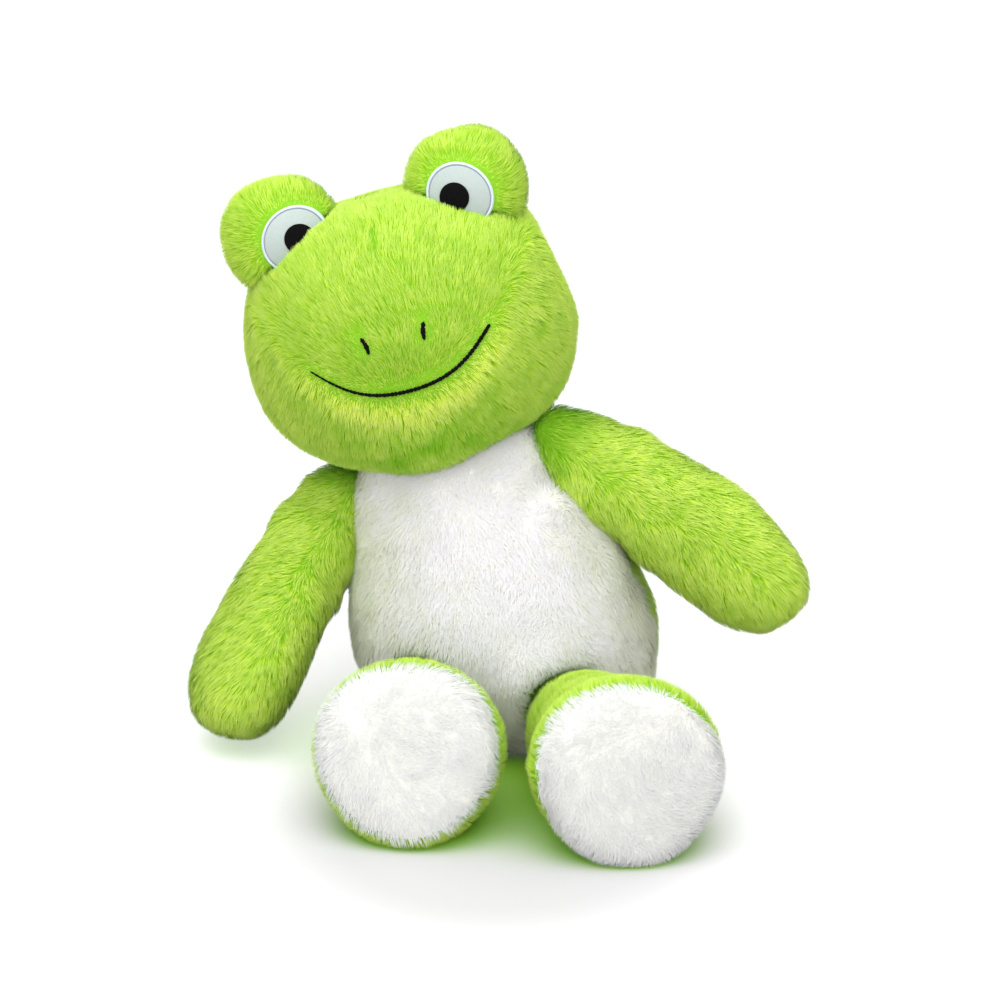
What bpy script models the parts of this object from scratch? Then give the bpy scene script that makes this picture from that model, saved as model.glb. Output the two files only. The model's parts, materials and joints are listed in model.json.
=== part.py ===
"""A sitting plush frog, in metres, +Z up, facing -Y. The origin is the middle of its flat seat.

The toy leans back and towards its own right. Its covers are open sewn skins round fibre stuffing.
Each limb has a round root that sits in a hollow of the torso, with a ring of folded seam between.
Right and left are the frog's own: its right side is at -X.
"""

import math

import bmesh
import bpy
from mathutils import Matrix, Vector

# Covers, seams and clearances
SKIN = 0.004
FIT = 0.0006
SEAM_GAP = 0.0003
SEAT_PRESS = 0.0005
FOOT_PRESS = 0.0012
RING_WALL = 0.0015
RING_PLAY = 0.0008
# Larger than the toy: how far the cutting blocks reach
REACH = 0.6

# Torso, from the seat up to the middle of the neck
NECK_HEIGHT = 0.130
TORSO_HALF_WIDTH = 0.068
TORSO_HALF_DEPTH = 0.059
NECK_SWAY = 0.034
NECK_BACK = 0.021
NECK_RADIUS = 0.031
POUCH_HEIGHT = 0.024
LEAN_SIDE_DEG = 16.0
LEAN_BACK_DEG = 10.0
BODY_YAW_DEG = 11.0

# Head
HEAD_HALF_WIDTH = 0.073
HEAD_HALF_DEPTH = 0.060
HEAD_HALF_HEIGHT = 0.0615
HEAD_LEAN_SIDE_DEG = 16.3
HEAD_LEAN_BACK_DEG = 12.0
HEAD_YAW_DEG = 4.5

# Eyes: the lobes, the satin whites and the stitched pupils, each set in a little from the one below.
# Both patches are sewn a little low and towards the frog's left
LOBE_RADIUS = 0.026
LOBE_HALF_DEPTH = 0.018
EYE_RADIUS = 0.0148
EYE_INSET = 0.0047
EYE_SHIFT = 0.0027
EYE_DROP = 0.0020
EYE_THICKNESS = 0.0011
PUPIL_RADIUS = 0.0066
PUPIL_INSET = 0.0023
PUPIL_THICKNESS = 0.0008

# Stitched nose and mouth, measured from the middle of the face
NOSTRIL_SPREAD = 0.0133
NOSTRIL_RISE = 0.0008
NOSTRIL_LENGTH = 0.0075
NOSTRIL_RADIUS = 0.0010
MOUTH_HALF_WIDTH = 0.0395
MOUTH_CORNER_DROP = 0.0050
MOUTH_DEPTH = 0.0178
MOUTH_RADIUS = 0.0009

# Arms, from the middle of the root to the tip of the hand
ARM_LENGTH = 0.123
ARM_HALF_WIDTH = 0.0235
ARM_HALF_THICKNESS = 0.0195
ARM_ROOT_RADIUS = 0.0172
ARM_MOUTH_RADIUS = 0.008
SHOULDER_BACK = 0.003

# Legs, from the middle of the root to the middle of the sole
LEG_LENGTH = 0.074
LEG_HALF_WIDTH = 0.0395
LEG_HALF_HEIGHT = 0.0387
LEG_ROOT_RADIUS = 0.022
LEG_MOUTH_RADIUS = 0.010
SOLE_RIM = 0.003
SOLE_THICKNESS = 0.0045
SOLE_CROWN = 0.0035

# Where things sit, as shares of the sizes above
SHOULDER_HEIGHT_SHARE = 0.84
SHOULDER_OUT_SHARE = 0.61
HIP_DEPTH_SHARE = 0.97
HIP_SPREAD_SHARE = 0.91
SIDE_SEAM_SLOPE_SHARE = 0.12
SIDE_SEAM_FRONT_SHARE = 0.24
HEAD_RISE_SHARE = 0.862
HEAD_FORWARD_SHARE = 0.133
LOBE_RISE_SHARE = 0.862
LOBE_SPREAD_SHARE = 0.582
LOBE_FORWARD_SHARE = 0.2
NOSTRIL_SLANT_SHARE = 0.2
MOUTH_ROUNDNESS = 2.4

# Torso rings: height, half width, half depth, sway, set back, lean
TORSO_RING_SHARES = (
    (0.0, 0.34, 0.34, 0.0, 0.0, 0.0),
    (0.0, 0.72, 0.70, 0.0, 0.0, 0.0),
    (0.08, 0.93, 0.92, 0.03, 0.0, 0.0),
    (0.27, 1.05, 1.04, 0.15, 0.0, 0.1),
    (0.52, 0.95, 0.95, 0.32, 0.25, 0.5),
    (0.77, 0.78, 0.80, 0.60, 0.6, 0.9),
    (0.94, 0.46, 0.50, 0.90, 0.9, 1.0),
    (1.08, 0.32, 0.34, 1.08, 1.08, 1.0),
)
# Limb rings: distance along, then how much of the root's radius and of the limb's half size they have
ARM_RING_SHARES = (
    (0.0, 0.68, 0.0),
    (0.10, 0.80, 0.0),
    (0.22, 0.50, 0.35),
    (0.42, 0.0, 1.0),
    (0.64, 0.0, 1.07),
    (0.84, 0.0, 1.03),
    (0.955, 0.0, 0.75),
    (1.0, 0.0, 0.36),
)
LEG_RING_SHARES = (
    (0.0, 0.60, 0.0),
    (0.18, 0.87, 0.0),
    (0.38, 0.35, 0.46),
    (0.62, 0.0, 0.85),
    (0.82, 0.0, 0.99),
    (0.95, 0.0, 1.02),
    (1.0, 0.0, 0.97),
)
# The first rings of a limb's inside: distance along in root radii, and whether at full width
LIMB_MOUTH_SHARES = ((-0.60, False), (-0.20, True))
CAVITY_START_SHARE = 1.5
STUFFING_START_SHARE = 0.85
# Rings of the head and the eye lobes: height as a share of a quarter turn, and how full they are
HEAD_RING_SHARES = (
    (-0.91, 0.30),
    (-0.71, 0.60),
    (-0.47, 0.83),
    (-0.20, 0.99),
    (0.07, 1.03),
    (0.33, 0.93),
    (0.59, 0.73),
    (0.83, 0.42),
)
LOBE_RING_SHARES = ((-0.83, 0.36), (-0.5, 0.80), (-0.13, 1.04), (0.22, 1.0), (0.56, 0.74), (0.84, 0.36))

# Where the limbs aim, each as azimuth from -Y towards +X and elevation: at the root, then at the end
ARM_AIMS_DEG = {"right": (-45.0, -34.0, -22.0, -52.0), "left": (72.0, -17.0, 68.0, -46.0)}
LEG_AIMS_DEG = {"right": (3.0, -2.0, -6.0, 22.0), "left": (25.0, 3.0, 7.0, 15.0)}
# How far each leg is drawn out of the seat
LEG_DRAW_SHARES = {"right": 0.97, "left": 1.08}
# The seam rings, as angles from the way into what carries them
LIMB_SEAM_DEG = (25.0, 50.0)
NECK_SEAM_DEG = (38.0, 68.0)

SIDES = {"right": -1, "left": 1}
BODY_SIDES = 12
LIMB_SIDES = 10
BODY_CORE_SIDES = 8
LIMB_CORE_SIDES = 6
LOBE_SIDES = 8
BALL_SEGMENTS = 16
BALL_RINGS = 8
EYE_SEGMENTS = 20
SEAM_SEGMENTS = 18
SEAM_STEPS = 2
SOLE_SEGMENTS = 30
SOLE_STEPS = 5
MOUTH_STEPS = 20
NOSTRIL_STEPS = 4
TURN = 2 * math.pi

# Finishes: linear RGB and roughness
GREEN_PILE = ((0.30, 0.62, 0.03), 0.95)
WHITE_PILE = ((0.86, 0.87, 0.84), 0.95)
EYE_SATIN = ((0.66, 0.77, 0.76), 0.55)
BLACK_THREAD = ((0.01, 0.01, 0.012), 0.6)
FIBRE = ((0.80, 0.80, 0.78), 1.0)
POUCH_CLOTH = ((0.70, 0.68, 0.62), 0.9)


def aim(azimuth, elevation):
    """A direction: azimuth from -Y towards +X, elevation above the floor, in degrees."""
    turn, rise = math.radians(azimuth), math.radians(elevation)
    return Vector((math.sin(turn) * math.cos(rise), -math.cos(turn) * math.cos(rise), math.sin(rise)))


def leaning(side_deg, back_deg, yaw_deg):
    """The rotation of what leans to -X and to +Y and faces a little towards -X."""
    return (
        Matrix.Rotation(math.radians(-yaw_deg), 4, "Z")
        @ Matrix.Rotation(math.radians(-back_deg), 4, "X")
        @ Matrix.Rotation(math.radians(-side_deg), 4, "Y")
    )


def material(name, finish):
    """A Principled material of one colour and roughness."""
    made = bpy.data.materials.new(name)
    made.use_nodes = True
    shader = made.node_tree.nodes["Principled BSDF"]
    colour, roughness = finish
    shader.inputs["Base Color"].default_value = (*colour, 1.0)
    shader.inputs["Roughness"].default_value = roughness
    shader.inputs["Metallic"].default_value = 0.0
    return made


def empty_at(name, matrix):
    """An empty that carries the pieces which turn about its place."""
    made = bpy.data.objects.new(name, None)
    frog.objects.link(made)
    made.matrix_world = matrix
    return made


def new_object(name, shape, group, finish=None, at=None, parent=None):
    """An object from a bmesh whose points are measured from its own origin."""
    mesh = bpy.data.meshes.new(name)
    shape.to_mesh(mesh)
    shape.free()
    mesh.shade_smooth()
    made = bpy.data.objects.new(name, mesh)
    group.objects.link(made)
    if finish:
        mesh.materials.append(finish)
    made.location = at or Vector()
    made.parent = parent
    return made


def helper(name, shape, at=None, parent=None):
    """A hidden cutter or guide."""
    made = new_object(name, shape, cutters, at=at, parent=parent)
    made.hide_render = True
    made.display_type = "WIRE"
    return made


def rounded(thing):
    """Rounds a coarse cage into a soft form."""
    soften = thing.modifiers.new("soften", "SUBSURF")
    soften.levels = 1
    soften.render_levels = 1
    return thing


def spun(thing, steps):
    """Turns a profile round its own Z."""
    spin = thing.modifiers.new("turn", "SCREW")
    spin.steps = steps
    spin.render_steps = steps
    spin.use_merge_vertices = True
    spin.merge_threshold = SEAM_GAP / 10
    return thing


def combine(thing, operation, *others):
    """Cuts helpers from a form, joins them to it, or keeps only what lies inside them."""
    for other in others:
        change = thing.modifiers.new(operation.lower() + " " + other.name, "BOOLEAN")
        change.operation = operation
        change.object = other
    return thing


def ring(centre, width, depth):
    """The matrix that lays a unit circle down as an oval ring."""
    columns = (width, depth, width.cross(depth).normalized(), centre)
    return Matrix([[column[row] for column in columns] for row in range(3)] + [[0, 0, 0, 1]])


def full_ring(half_size, sides):
    """How far out a ring's corners lie for a rounded form of this half size."""
    return half_size * 3 / (2 + math.cos(TURN / sides))


def cage(rings, sides):
    """A closed cage through oval rings, bridged one to the next."""
    shell = bmesh.new()
    loops = []
    for number, matrix in enumerate(rings):
        capped = number in (0, len(rings) - 1)
        made = bmesh.ops.create_circle(shell, cap_ends=capped, segments=sides, radius=1.0, matrix=matrix)
        loops.append({edge for vert in made["verts"] for edge in vert.link_edges})
    for low, high in zip(loops, loops[1:]):
        bmesh.ops.bridge_loops(shell, edges=list(low | high))
    bmesh.ops.recalc_face_normals(shell, faces=shell.faces)
    return shell


def ball(radius):
    """A sphere round the origin."""
    made = bmesh.new()
    bmesh.ops.create_uvsphere(made, u_segments=BALL_SEGMENTS, v_segments=BALL_RINGS, radius=radius)
    return made


def block(size, centre, rotation=None):
    """A box of this size about a centre, then turned about the origin."""
    made = bmesh.new()
    bmesh.ops.create_cube(made, size=1.0)
    bmesh.ops.scale(made, vec=size, verts=made.verts)
    bmesh.ops.translate(made, vec=centre, verts=made.verts)
    if rotation:
        bmesh.ops.transform(made, matrix=rotation, verts=made.verts)
    return made


def chain(points, closed=False):
    """A profile: points joined by edges, in order."""
    made = bmesh.new()
    verts = [made.verts.new(point) for point in points]
    for low, high in zip(verts, verts[1:] + verts[:1] if closed else verts[1:]):
        made.edges.new((low, high))
    return made


def hollow_radius(root_radius):
    """The radius of the hollow that takes a root, its seam ring and their play."""
    return root_radius + RING_WALL + 2 * RING_PLAY + SEAM_GAP


def seam_ring(name, inward, root_radius, span_deg, finish, parent):
    """A ring of doubled fabric that lies on a round root, about the way in. That way is its own Z."""
    inner = root_radius + RING_PLAY
    outer = inner + RING_WALL
    first, last = (math.radians(angle) for angle in span_deg)
    angles = [first + (last - first) * step / SEAM_STEPS for step in range(SEAM_STEPS + 1)]
    points = [(outer * math.sin(angle), 0, outer * math.cos(angle)) for angle in angles]
    points += [(inner * math.sin(angle), 0, inner * math.cos(angle)) for angle in reversed(angles)]
    made = new_object(name, chain(points, closed=True), frog, finish, parent=parent)
    made.rotation_mode = "QUATERNION"
    made.rotation_quaternion = inward.to_track_quat("Z", "Y")
    return spun(made, SEAM_SEGMENTS)


# The scene starts empty
for old in list(bpy.data.objects):
    bpy.data.objects.remove(old)
frog = bpy.data.collections.new("plush_frog")
cutters = bpy.data.collections.new("cutters")
cutters.hide_render = True
for collection in (frog, cutters):
    bpy.context.scene.collection.children.link(collection)

green = material("green_pile", GREEN_PILE)
white = material("white_pile", WHITE_PILE)
satin = material("eye_satin", EYE_SATIN)
thread = material("black_thread", BLACK_THREAD)
fibre = material("fibre", FIBRE)
cloth = material("pouch_cloth", POUCH_CLOTH)

yaw = Matrix.Rotation(math.radians(-BODY_YAW_DEG), 4, "Z")
neck = Vector((-NECK_SWAY, NECK_BACK, NECK_HEIGHT))


# Torso rings
def torso_ring(row):
    """Centre, rotation, half width and half depth of a row of the torso's table."""
    height, wide, deep, sway, back, lean = row
    rotation = leaning(LEAN_SIDE_DEG * lean, LEAN_BACK_DEG * lean, BODY_YAW_DEG).to_3x3()
    centre = Vector((-NECK_SWAY * sway, NECK_BACK * back, NECK_HEIGHT * height))
    return centre, rotation, TORSO_HALF_WIDTH * wide, TORSO_HALF_DEPTH * deep


def torso_at(height):
    """The same, between two rows, at this share of the neck's height."""
    rows = TORSO_RING_SHARES
    low = max(number for number in range(1, len(rows) - 1) if rows[number][0] <= height)
    part = (height - rows[low][0]) / (rows[low + 1][0] - rows[low][0])
    return torso_ring([start + (end - start) * part for start, end in zip(rows[low], rows[low + 1])])


def torso_cage(inset, sides):
    """The torso's form drawn in by an inset, or its outside where the inset is zero."""
    made = []
    for number, row in enumerate(TORSO_RING_SHARES):
        centre, rotation, wide, deep = torso_ring(row)
        if number < 2:
            centre.z += inset - SEAT_PRESS
        if number == len(TORSO_RING_SHARES) - 1:
            centre.z -= inset
        width = rotation.col[0] * full_ring(wide - inset, sides)
        depth = rotation.col[1] * full_ring(deep - inset, sides)
        made.append(ring(centre, width, depth))
    return cage(made, sides)


# Limb rings
def limb_rings(shares, length, half_sizes, root_radius, aims, across, inset):
    """Centre, width and depth of each ring of a limb that bends evenly from its root's aim to its end's."""
    start, end = aims
    made = []
    for along, root_share, body_share in shares:
        centre = length * (start * (along - along * along / 2) + end * along * along / 2)
        tangent = (start * (1 - along) + end * along).normalized()
        width = (across - tangent * across.dot(tangent)).normalized()
        wide, thick = (root_radius * root_share + half * body_share - inset for half in half_sizes)
        made.append((centre, width * wide, tangent.cross(width) * thick))
    return made


def limb_cage(rings, sides):
    """A closed cage through a limb's rings."""
    wider = full_ring(1, sides)
    return cage([ring(centre, width * wider, depth * wider) for centre, width, depth in rings], sides)


def inside_rings(rings, tangent, root_radius, mouth_radius, start_share, end_inset):
    """The rings of a limb's inside, which start behind the root's middle and end short of the tip."""
    across = rings[0][1].normalized()
    up = tangent.cross(across)
    made = [(-tangent * root_radius * start_share, across * mouth_radius, up * mouth_radius)]
    for along, is_wide in LIMB_MOUTH_SHARES:
        radius = rings[0][1].length if is_wide else mouth_radius
        made.append((tangent * root_radius * along, across * radius, up * radius))
    last_centre, last_width, last_depth = rings[-1]
    way_out = last_width.cross(last_depth).normalized()
    made += rings[1:-1]
    return made + [(last_centre - way_out * end_inset, last_width, last_depth)]


def limb(kind, side, shares, sizes, aims, across, parent):
    """A limb's cover, open at its root, and the stuffing inside."""
    length, half_sizes, root_radius, mouth_radius = sizes
    outside = limb_rings(shares, length, half_sizes, root_radius, aims, across, 0)
    cover = rounded(new_object(f"{kind}_{side}", limb_cage(outside, LIMB_SIDES), frog, green, parent=parent))
    root = helper(f"{kind}_root_{side}", ball(root_radius), parent=parent)
    skin_rings = limb_rings(shares, length, half_sizes, root_radius, aims, across, SKIN)
    hole = inside_rings(skin_rings, aims[0], root_radius, mouth_radius, CAVITY_START_SHARE, SKIN)
    cavity = helper(f"{kind}_cavity_{side}", limb_cage(hole, LIMB_CORE_SIDES), parent=parent)
    combine(cover, "UNION", root)
    combine(cover, "DIFFERENCE", rounded(cavity))
    core_rings = limb_rings(shares, length, half_sizes, root_radius, aims, across, SKIN + FIT)
    core = inside_rings(
        core_rings, aims[0], root_radius, mouth_radius - FIT, STUFFING_START_SHARE, SKIN + FIT
    )
    rounded(
        new_object(f"{kind}_stuffing_{side}", limb_cage(core, LIMB_CORE_SIDES), frog, fibre, parent=parent)
    )
    return cover


# Shoulders and hips, where the torso carries them. The hips' height follows the feet on the floor
shoulder_centre, shoulder_turn, shoulder_half_width, _ = torso_at(SHOULDER_HEIGHT_SHARE)
torso_across, torso_back, torso_up = shoulder_turn.col
shoulder_out = shoulder_half_width + SHOULDER_OUT_SHARE * ARM_ROOT_RADIUS
leg_across = Vector((1, 0, 0))
arm_aims, leg_aims, shoulders, hips = {}, {}, {}, {}
for side, sign in SIDES.items():
    azimuth, elevation, end_azimuth, end_elevation = ARM_AIMS_DEG[side]
    arm_aims[side] = (aim(azimuth, elevation), aim(end_azimuth, end_elevation))
    place = shoulder_centre + torso_across * sign * shoulder_out + torso_back * SHOULDER_BACK
    shoulders[side] = empty_at(f"shoulder_{side}", Matrix.Translation(place))

    azimuth, elevation, end_azimuth, end_elevation = LEG_AIMS_DEG[side]
    leg_aims[side] = (aim(azimuth, elevation), aim(end_azimuth, end_elevation))
    rings = limb_rings(
        LEG_RING_SHARES,
        LEG_LENGTH * LEG_DRAW_SHARES[side],
        (LEG_HALF_WIDTH, LEG_HALF_HEIGHT),
        LEG_ROOT_RADIUS,
        leg_aims[side],
        leg_across,
        0,
    )
    underside = min(centre.z - math.hypot(width.z, depth.z) for centre, width, depth in rings)
    hip_across = sign * LEG_HALF_WIDTH * HIP_SPREAD_SHARE
    place = yaw @ Vector((hip_across, -TORSO_HALF_DEPTH * HIP_DEPTH_SHARE, 0))
    place.z = -underside - FOOT_PRESS
    hips[side] = empty_at(f"hip_{side}", Matrix.Translation(place))

# Torso: the white belly panel, the green back panel, and what fills them
hollows, stuffing_hollows = [], []
for joints, root_radius in ((shoulders, ARM_ROOT_RADIUS), (hips, LEG_ROOT_RADIUS)):
    for joint in joints.values():
        radius = hollow_radius(root_radius)
        hollows.append(helper(f"{joint.name}_hollow", ball(radius), parent=joint))
        stuffing_hollows.append(helper(f"{joint.name}_core_hollow", ball(radius + FIT), parent=joint))

floor = helper("floor", block(Vector((REACH, REACH, REACH)), Vector((0, 0, -REACH / 2))))
neck_ball = helper("neck_ball", ball(NECK_RADIUS), at=neck)
neck_cavity = helper("neck_cavity", ball(NECK_RADIUS - SKIN), at=neck)
torso_cavity = rounded(helper("torso_cavity", torso_cage(SKIN, BODY_CORE_SIDES)))
combine(torso_cavity, "UNION", neck_cavity)

# The side seams lie in a plane that slopes back as it rises
seam_turn = yaw @ Matrix.Rotation(-math.atan(SIDE_SEAM_SLOPE_SHARE), 4, "X")
seam_y = -TORSO_HALF_DEPTH * SIDE_SEAM_FRONT_SHARE
half_space = Vector((REACH, REACH, REACH))
front = helper("front", block(half_space, Vector((0, seam_y - REACH / 2, 0)), seam_turn))
rear = helper("rear", block(half_space, Vector((0, seam_y + SEAM_GAP + REACH / 2, 0)), seam_turn))
for name, finish, region in (("belly_panel", white, front), ("back_panel", green, rear)):
    panel = rounded(new_object(name, torso_cage(0, BODY_SIDES), frog, finish))
    combine(panel, "UNION", neck_ball)
    combine(panel, "DIFFERENCE", floor, torso_cavity, *hollows)
    combine(panel, "INTERSECT", region)

above = helper("above_pouch", block(half_space, Vector((0, 0, POUCH_HEIGHT + REACH / 2))))
below = helper("pouch_room", block(half_space, Vector((0, 0, POUCH_HEIGHT + SEAM_GAP - REACH / 2))))
for name, finish, away in (("torso_stuffing", fibre, below), ("pellet_pouch", cloth, above)):
    core = rounded(new_object(name, torso_cage(SKIN + FIT, BODY_CORE_SIDES), frog, finish))
    combine(core, "DIFFERENCE", *stuffing_hollows, away)

# Arms. Their broad way lies up and down on the raised arm, and fore and aft on the hanging one
broad_ways = {"right": Vector((0, -1, 0)), "left": torso_up}
arm_sizes = (ARM_LENGTH, (ARM_HALF_WIDTH, ARM_HALF_THICKNESS), ARM_ROOT_RADIUS, ARM_MOUTH_RADIUS)
for side, sign in SIDES.items():
    limb("arm", side, ARM_RING_SHARES, arm_sizes, arm_aims[side], broad_ways[side], shoulders[side])
    inward = torso_across * -sign
    seam_ring(f"shoulder_seam_{side}", inward, ARM_ROOT_RADIUS, LIMB_SEAM_DEG, green, shoulders[side])

# Legs, with a crowned sole sewn on the end of each
pad_radius = min(LEG_HALF_WIDTH, LEG_HALF_HEIGHT) - SOLE_RIM
sole_points = []
for step in range(SOLE_STEPS):
    share = step / SOLE_STEPS
    sole_points.append((pad_radius * share, 0, SOLE_THICKNESS + SOLE_CROWN * (1 - share * share)))
sole_points += [
    (pad_radius - SOLE_THICKNESS / 4, 0, SOLE_THICKNESS),
    (pad_radius, 0, SOLE_THICKNESS / 2),
    (pad_radius - SOLE_THICKNESS / 4, 0, 0),
    (0, 0, 0),
]
for side in SIDES:
    length = LEG_LENGTH * LEG_DRAW_SHARES[side]
    sizes = (length, (LEG_HALF_WIDTH, LEG_HALF_HEIGHT), LEG_ROOT_RADIUS, LEG_MOUTH_RADIUS)
    leg = limb("leg", side, LEG_RING_SHARES, sizes, leg_aims[side], leg_across, hips[side])
    combine(leg, "DIFFERENCE", floor)
    way_out, sole_aim = leg_aims[side]
    seam_ring(f"hip_seam_{side}", -way_out, LEG_ROOT_RADIUS, LIMB_SEAM_DEG, green, hips[side])
    sole = new_object(f"sole_{side}", chain(sole_points), frog, white, parent=hips[side])
    sole.location = (way_out + sole_aim) * length / 2 + sole_aim * SEAM_GAP
    sole.rotation_mode = "QUATERNION"
    sole.rotation_quaternion = sole_aim.to_track_quat("Z", "Y")
    spun(sole, SOLE_SEGMENTS)

# Head, measured from the middle of the neck, upright
head_turn = leaning(HEAD_LEAN_SIDE_DEG, HEAD_LEAN_BACK_DEG, HEAD_YAW_DEG)
head_frame = empty_at("head_frame", Matrix.Translation(neck) @ head_turn)
head_sizes = (HEAD_HALF_WIDTH, HEAD_HALF_DEPTH, HEAD_HALF_HEIGHT)
head_centre = Vector((0, -HEAD_HALF_DEPTH * HEAD_FORWARD_SHARE, HEAD_HALF_HEIGHT * HEAD_RISE_SHARE))


def round_cage(shares, half_sizes, centre, grow, sides):
    """A rounded form of rings that stand on top of one another, grown by so much all round."""
    wide, deep, high = (size + grow for size in half_sizes)
    made = []
    for height, fullness in shares:
        middle = centre + Vector((0, 0, high * math.sin(TURN / 4 * height)))
        across = Vector((full_ring(wide * fullness, sides), 0, 0))
        back = Vector((0, full_ring(deep * fullness, sides), 0))
        made.append(ring(middle, across, back))
    return cage(made, sides)


def head_cage(grow, sides):
    """The head's form, grown by so much all round."""
    return round_cage(HEAD_RING_SHARES, head_sizes, head_centre, grow, sides)


neck_hollow = helper("neck_hollow", ball(hollow_radius(NECK_RADIUS)), parent=head_frame)
neck_core_hollow = helper("neck_core_hollow", ball(hollow_radius(NECK_RADIUS) + FIT), parent=head_frame)
head_cavity = rounded(helper("head_cavity", head_cage(-SKIN, BODY_CORE_SIDES), parent=head_frame))
head_cover = rounded(new_object("head_cover", head_cage(0, BODY_SIDES), frog, green, parent=head_frame))
combine(head_cover, "DIFFERENCE", head_cavity, neck_hollow)
head_stuffing = rounded(
    new_object("head_stuffing", head_cage(-SKIN - FIT, BODY_CORE_SIDES), frog, fibre, parent=head_frame)
)
combine(head_stuffing, "DIFFERENCE", neck_core_hollow)
seam_ring("neck_seam", Vector((0, 0, 1)), NECK_RADIUS, NECK_SEAM_DEG, green, head_frame)

# Eyes. What is sewn on the head is trimmed to its form, a seam's width away
head_clear = rounded(helper("head_clear", head_cage(SEAM_GAP, BODY_SIDES), parent=head_frame))
lobe_sizes = (LOBE_RADIUS, LOBE_HALF_DEPTH, LOBE_RADIUS)


def lobe_cage(sign, grow):
    """An eye lobe's form, grown by so much all round."""
    middle = head_centre + Vector(
        (
            sign * HEAD_HALF_WIDTH * LOBE_SPREAD_SHARE,
            -HEAD_HALF_DEPTH * LOBE_FORWARD_SHARE,
            HEAD_HALF_HEIGHT * LOBE_RISE_SHARE,
        )
    )
    return round_cage(LOBE_RING_SHARES, lobe_sizes, middle, grow, LOBE_SIDES)


def eye_patch(name, side, finish, radius, inset, base, thickness):
    """A round patch that follows the front of an eye lobe, this far off it."""
    sign = SIDES[side]
    under = rounded(helper(f"{name}_under_{side}", lobe_cage(sign, base), parent=head_frame))
    over = rounded(helper(f"{name}_over_{side}", lobe_cage(sign, base + thickness), parent=head_frame))
    disc = bmesh.new()
    bmesh.ops.create_cone(
        disc, cap_ends=True, segments=EYE_SEGMENTS, radius1=radius, radius2=radius, depth=LOBE_HALF_DEPTH * 2
    )
    middle = head_centre + Vector(
        (
            sign * (HEAD_HALF_WIDTH * LOBE_SPREAD_SHARE - inset) + EYE_SHIFT,
            -HEAD_HALF_DEPTH * LOBE_FORWARD_SHARE - LOBE_HALF_DEPTH,
            HEAD_HALF_HEIGHT * LOBE_RISE_SHARE - EYE_DROP,
        )
    )
    stand = Matrix.Translation(middle) @ Matrix.Rotation(TURN / 4, 4, "X")
    bmesh.ops.transform(disc, matrix=stand, verts=disc.verts)
    patch = new_object(f"{name}_{side}", disc, frog, finish, parent=head_frame)
    combine(patch, "INTERSECT", over)
    combine(patch, "DIFFERENCE", under, head_clear)


for side, sign in SIDES.items():
    lobe = rounded(new_object(f"eye_lobe_{side}", lobe_cage(sign, 0), frog, green, parent=head_frame))
    combine(lobe, "DIFFERENCE", head_clear)
    eye_patch("eye_white", side, satin, EYE_RADIUS, EYE_INSET, SEAM_GAP, EYE_THICKNESS)
    pupil_base = EYE_THICKNESS + 2 * SEAM_GAP
    eye_patch("pupil", side, thread, PUPIL_RADIUS, EYE_INSET + PUPIL_INSET, pupil_base, PUPIL_THICKNESS)

# The nose and the mouth are raised lines of thread that lie on the face
bpy.context.view_layer.update()
face = head_clear.evaluated_get(bpy.context.evaluated_depsgraph_get())


def on_face(across, rise, lift):
    """The point of the face straight behind this place, lifted off it."""
    start = head_centre + Vector((across, -2 * HEAD_HALF_DEPTH, rise))
    found, place, normal, _ = face.ray_cast(start, Vector((0, 1, 0)))
    return place + normal * lift if found else start


def stitched_line(name, route, radius):
    """A raised line of thread along points on the face."""
    line = bpy.data.curves.new(name, "CURVE")
    line.dimensions = "3D"
    line.bevel_depth = radius
    line.bevel_resolution = 1
    line.use_fill_caps = True
    spline = line.splines.new("POLY")
    spline.points.add(len(route) - 1)
    for point, place in zip(spline.points, route):
        point.co = (*place, 1)
    line.materials.append(thread)
    made = bpy.data.objects.new(name, line)
    frog.objects.link(made)
    made.parent = head_frame


smile = []
for step in range(MOUTH_STEPS + 1):
    share = 2 * step / MOUTH_STEPS - 1
    rise = -MOUTH_CORNER_DROP - MOUTH_DEPTH * (1 - abs(share) ** MOUTH_ROUNDNESS)
    smile.append(on_face(MOUTH_HALF_WIDTH * share, rise, MOUTH_RADIUS + SEAM_GAP))
stitched_line("mouth_line", smile, MOUTH_RADIUS)
for side, sign in SIDES.items():
    mark = []
    for step in range(NOSTRIL_STEPS + 1):
        up_by = NOSTRIL_LENGTH * (step / NOSTRIL_STEPS - 1 / 2)
        across = sign * (NOSTRIL_SPREAD + NOSTRIL_SLANT_SHARE * up_by)
        mark.append(on_face(across, NOSTRIL_RISE + up_by, NOSTRIL_RADIUS + SEAM_GAP))
    stitched_line(f"nostril_{side}", mark, NOSTRIL_RADIUS)
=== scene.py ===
import json
import math

import bmesh
import bpy
import numpy as np
from mathutils import Matrix, Vector
from mathutils.kdtree import KDTree


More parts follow.
